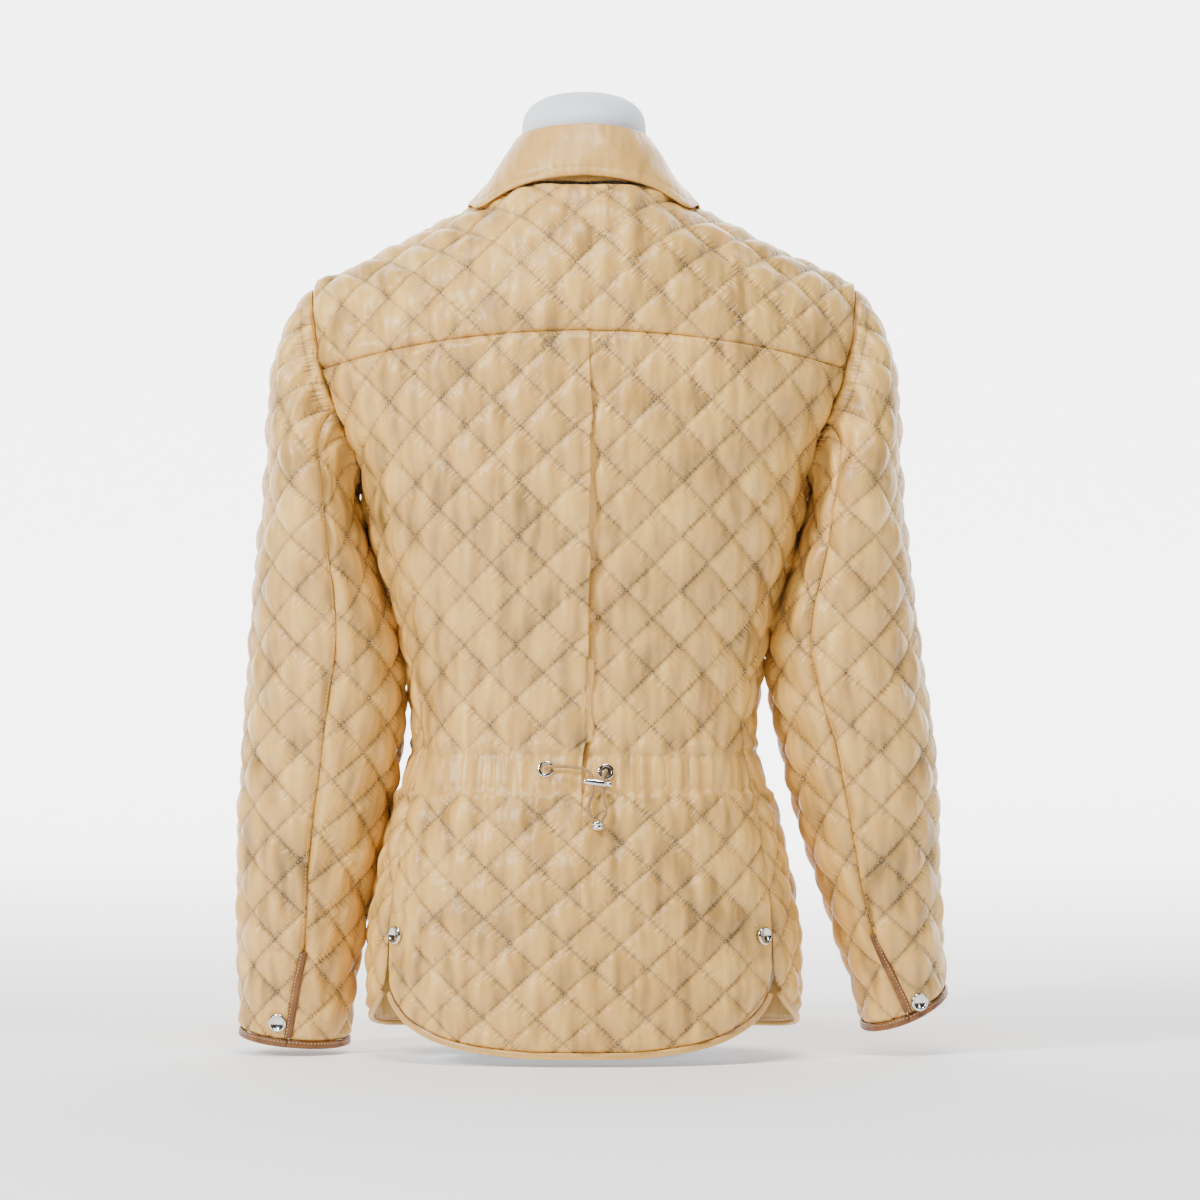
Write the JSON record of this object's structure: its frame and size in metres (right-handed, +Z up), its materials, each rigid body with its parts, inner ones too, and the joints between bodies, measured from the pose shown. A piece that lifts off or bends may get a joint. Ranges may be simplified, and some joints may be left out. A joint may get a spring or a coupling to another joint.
{
  "type": "quilted jacket on a dress form",
  "caption": "Quilted jacket with shirt collar, back pleat, drawcord waist and leather-bound cuffs, filled out by a limbless dress form.",
  "frame": {"origin": "middle of the part's box at the floor that the form stands on", "axes": "+Z up; the back of the jacket faces -Y; +X is the wearer's right"},
  "size_m": [0.5344, 0.2528, 0.722],
  "materials": {
    "shell_cloth": "satin quilted polyester",
    "leather_trim": "tan leather binding",
    "steel": "polished nickel",
    "cord": "braided round cord",
    "form_cover": "white jersey"
  },
  "bodies": {
    "root": {"back_body": "shell_cloth", "back_yoke": "shell_cloth", "front_right": "shell_cloth", "front_left": "shell_cloth", "upper_sleeve_left": "shell_cloth", "under_sleeve_left": "shell_cloth", "upper_sleeve_right": "shell_cloth", "under_sleeve_right": "shell_cloth", "collar_fall": "shell_cloth", "collar_stand": "shell_cloth", "hem_binding_back": "shell_cloth", "hem_binding_right": "shell_cloth", "hem_binding_left": "shell_cloth", "cuff_binding_upper_left": "leather_trim", "cuff_binding_under_left": "leather_trim", "cuff_tab_edge_left": "leather_trim", "cuff_binding_upper_right": "leather_trim", "cuff_binding_under_right": "leather_trim", "cuff_tab_edge_right": "leather_trim", "dress_form": "form_cover", "vent_snap_right": "steel", "vent_snap_left": "steel", "cuff_snap_left": "steel", "cuff_snap_right": "steel", "front_snap_1": "steel", "front_snap_2": "steel", "front_snap_3": "steel", "front_snap_4": "steel", "front_snap_5": "steel", "front_snap_6": "steel", "waist_cord_left": "cord", "waist_cord_right": "cord", "cord_lock": "steel", "cord_end_clip": "steel", "eyelet_left": "steel", "eyelet_right": "steel"}
  },
  "joints": []
}
